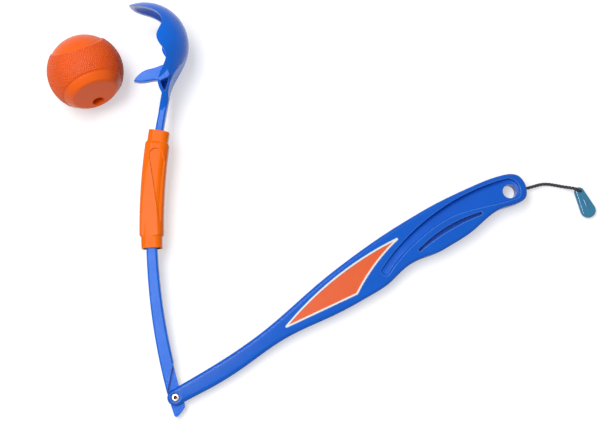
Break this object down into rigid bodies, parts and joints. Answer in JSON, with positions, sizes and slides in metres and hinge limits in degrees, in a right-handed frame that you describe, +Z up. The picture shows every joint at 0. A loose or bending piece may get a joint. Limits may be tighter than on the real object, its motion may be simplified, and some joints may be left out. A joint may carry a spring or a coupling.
{
  "type": "dog ball thrower",
  "caption": "Folding dog ball thrower: bent arm with an open ball cup, riveted hinge, sliding lock sleeve, long grip with wrist cord, and a rubber ball beside it.",
  "frame": {"origin": "middle of the underside of the launcher and its ball, on the surface they lie on", "axes": "+Z up; +X from the ball towards the grip's end; +Y from the hinge towards the cup"},
  "size_m": [0.458, 0.341, 0.0676],
  "materials": {
    "launcher_plastic": "satin moulded plastic",
    "grip_plastic": "satin moulded plastic",
    "rivet_steel": "nickel-plated steel",
    "sleeve_plastic": "satin moulded plastic",
    "label_rim": "satin plastic",
    "label_field": "satin plastic",
    "ball_rubber": "grained rubber with two smooth caps",
    "cord_fibre": "twisted cord",
    "pull_plastic": "clear tinted plastic"
  },
  "bodies": {
    "launcher": {"claw_arm": "launcher_plastic", "hinge_rivet": "rivet_steel", "ball": "ball_rubber"},
    "grip": {"handle": "grip_plastic", "label_border": "label_rim", "label_panel": "label_field", "wrist_cord": "cord_fibre", "cord_pull": "pull_plastic"},
    "sleeve": {"lock_sleeve": "sleeve_plastic"}
  },
  "joints": [
    {"name": "fold", "type": "hinge", "parent": "launcher", "child": "grip", "pos_m": [-0.08898, -0.15486, 0.00696], "axis": [0.0407, -0.089, 0.9952], "range_deg": [-104, 45]},
    {"name": "sleeve_slide", "type": "hinge", "parent": "launcher", "child": "sleeve", "pos_m": [0.39341, -0.00796, 0.00035], "axis": [0.0407, -0.089, 0.9952], "range_deg": [-1.8, 9.4]}
  ]
}
